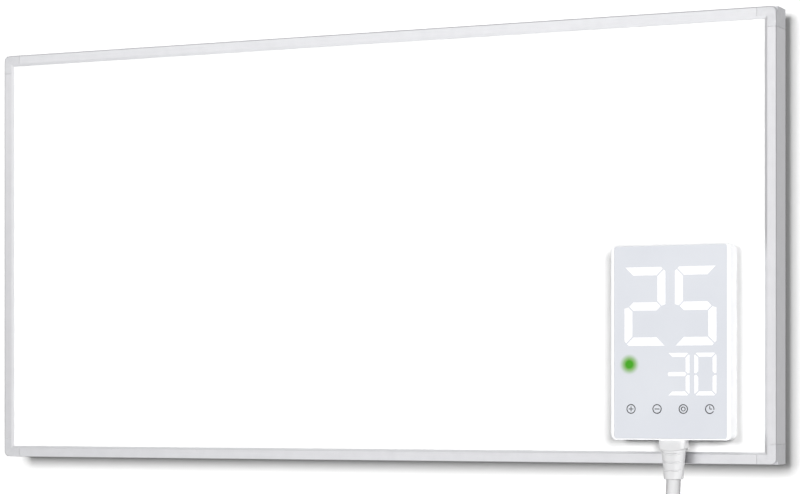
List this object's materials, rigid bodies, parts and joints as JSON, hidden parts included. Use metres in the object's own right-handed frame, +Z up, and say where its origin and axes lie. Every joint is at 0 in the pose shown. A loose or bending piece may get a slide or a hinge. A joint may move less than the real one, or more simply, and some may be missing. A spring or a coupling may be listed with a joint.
{
  "type": "infrared panel heater",
  "caption": "Flat wall-hung infrared heating panel in a slim metal frame, with a touch control unit on its face, a ribbed cord boot and a mains cord with plug.",
  "frame": {"origin": "on the wall side of the wall rail, midway between its two screw holes", "axes": "+X along the panel's width, to the right seen from the front; +Y into the wall; +Z up. The heated face looks along -Y."},
  "size_m": [0.6, 0.0532, 0.5886],
  "materials": {
    "frame": "satin",
    "corner_cap": "satin",
    "zinc_steel": "satin",
    "plate_coating": "satin",
    "element": "matte",
    "copper": "satin",
    "foil": "gloss",
    "mineral_wool": "matte",
    "zinc_sheet": "satin",
    "screws": "satin",
    "cutout": "satin",
    "silicone": "matte",
    "pad_rubber": "matte",
    "base_plastic": "matte",
    "case_plastic": "satin",
    "face_gloss": "gloss",
    "lit_window": "satin",
    "status_light": "gloss",
    "print_ink": "matte",
    "clear_film": "gloss",
    "board": "satin",
    "black_plastic": "satin",
    "fuse_glass": "gloss",
    "terminal_plastic": "satin",
    "contact_brass": "satin",
    "boot_rubber": "satin",
    "cord_sheath": "satin",
    "tie_strap": "matte",
    "plug_plastic": "satin",
    "pin_nickel": "polished"
  },
  "bodies": {
    "wall_bracket": {"wall_rail": "zinc_steel"},
    "heater": {"back_cover": "zinc_sheet", "back_cover_screws": "screws", "board_screws": "screws", "busbar_terminals": "copper", "clamp_screws": "screws", "control_board": "board", "controller_base": "base_plastic", "controller_screws": "screws", "controller_spacers": "screws", "cord_clamp": "base_plastic", "cord_conductors": "silicone", "cord_inner": "cord_sheath", "cord_tie": "tie_strap", "corner_cap_bottom_left": "corner_cap", "corner_cap_bottom_right": "corner_cap", "corner_cap_top_left": "corner_cap", "corner_cap_top_right": "corner_cap", "corner_keys": "zinc_steel", "display_module": "base_plastic", "display_windows": "lit_window", "earth_stud": "screws", "element_leads": "silicone", "frame_bottom": "frame", "frame_left": "frame", "frame_right": "frame", "frame_top": "frame", "front_bezel": "case_plastic", "front_plate": "face_gloss", "fuse": "fuse_glass", "hanger_rail": "zinc_steel", "hanger_rivets": "screws", "heater_busbars": "copper", "heating_film": "element", "heating_plate": "plate_coating", "insulation_board": "mineral_wool", "key_marks": "print_ink", "lead_grommet": "silicone", "mains_cord_coil": "cord_sheath", "mains_cord_drop": "cord_sheath", "mains_cord_tail": "cord_sheath", "plug_body": "plug_plastic", "plug_boot": "boot_rubber", "plug_earth_clips": "pin_nickel", "plug_pins": "pin_nickel", "power_converter": "black_plastic", "rear_shell": "case_plastic", "reflector_foil": "foil", "relay_coil": "copper", "relay_contacts": "contact_brass", "relay_frame": "black_plastic", "room_sensor": "black_plastic", "smoothing_capacitor": "black_plastic", "status_lens": "status_light", "strain_relief": "boot_rubber", "terminal_block": "terminal_plastic", "thermal_cutouts": "cutout", "touch_film": "clear_film", "wall_pads": "pad_rubber"},
    "armature": {"relay_armature": "zinc_steel"}
  },
  "joints": [
    {"name": "heater_lift", "type": "slide", "parent": "wall_bracket", "child": "heater", "axis": [0, 0, 1], "range_m": [0, 0.013]},
    {"name": "relay_pull_in", "type": "hinge", "parent": "heater", "child": "armature", "pos_m": [0.21419, -0.04525, -0.1555], "axis": [0, 0, 1], "range_deg": [0, 4], "stiffness_Nm_per_rad": 0.02, "springref_deg": -5.73}
  ]
}
